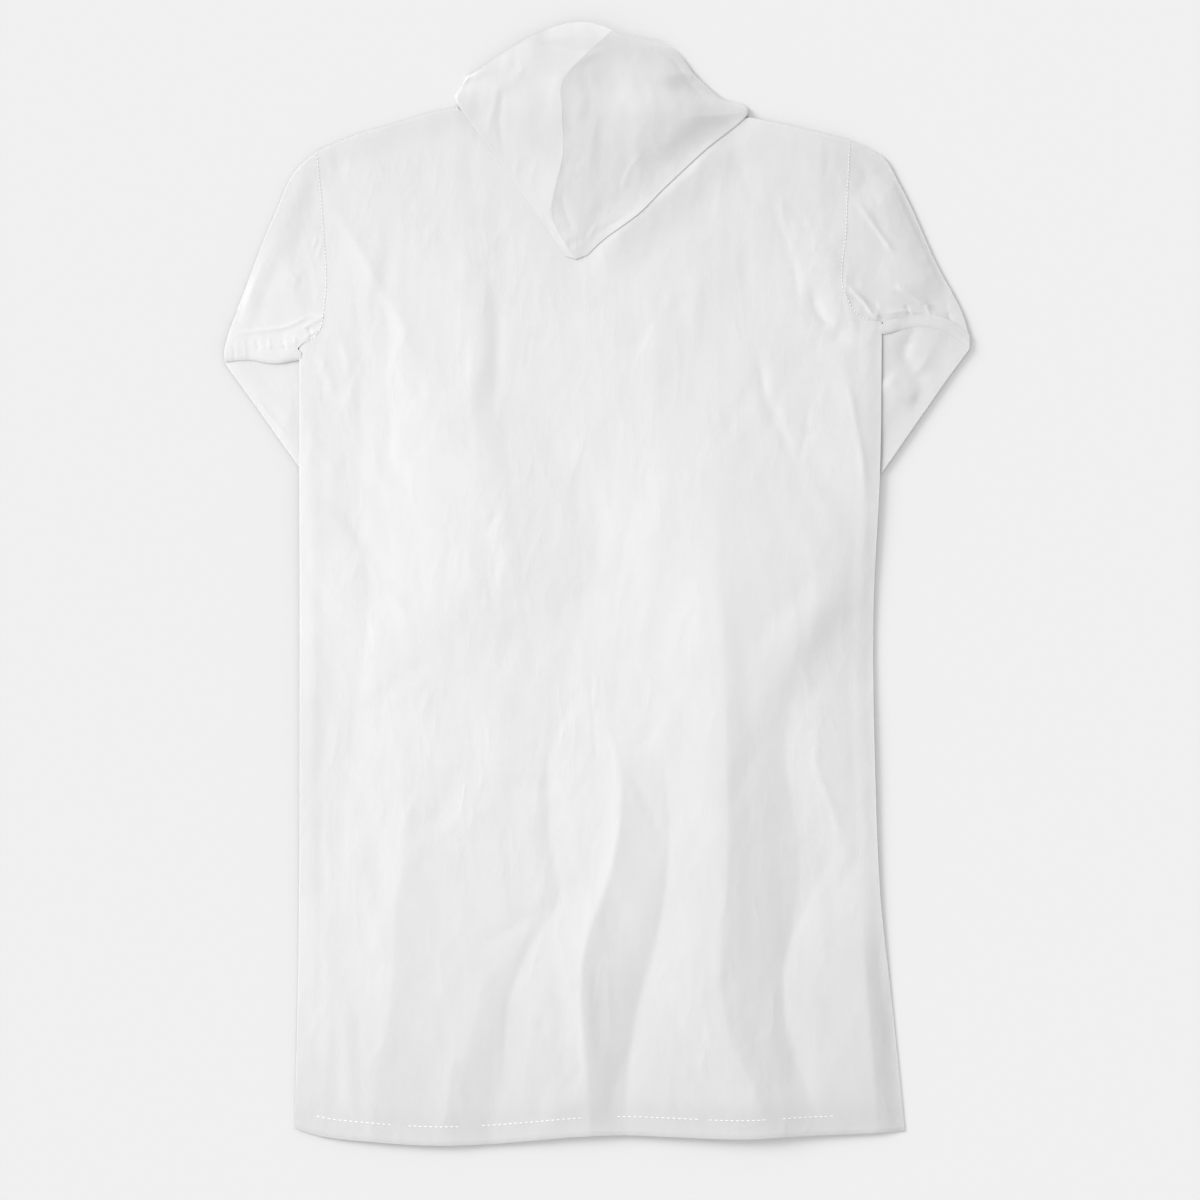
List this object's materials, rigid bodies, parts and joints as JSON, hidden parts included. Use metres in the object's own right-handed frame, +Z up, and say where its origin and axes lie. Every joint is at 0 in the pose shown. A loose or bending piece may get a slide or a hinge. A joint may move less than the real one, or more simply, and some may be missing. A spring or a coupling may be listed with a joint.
{
  "type": "rain poncho",
  "caption": "Hooded rain poncho of thin milky translucent film, laid flat front down with the hood turned back and the sleeves bent and tucked under the body.",
  "frame": {"origin": "middle of the garment's outline seen from above, on the surface that it lies on", "axes": "+Z up out of the back of the garment, +Y from the hem to the hood, +X to the right as seen from above"},
  "size_m": [0.7995, 1.2017, 0.0247],
  "materials": {
    "back_panel": "milky translucent film, soft sheen",
    "front_panel": "milky translucent film, soft sheen",
    "sleeve_left": "milky translucent film, soft sheen",
    "sleeve_right": "milky translucent film, soft sheen",
    "hood_left": "milky translucent film, soft sheen",
    "hood_right": "milky translucent film, soft sheen"
  },
  "bodies": {
    "root": {"back_panel": "back_panel", "front_panel": "front_panel", "sleeve_left": "sleeve_left", "sleeve_right": "sleeve_right", "hood_left": "hood_left", "hood_right": "hood_right"}
  },
  "joints": []
}
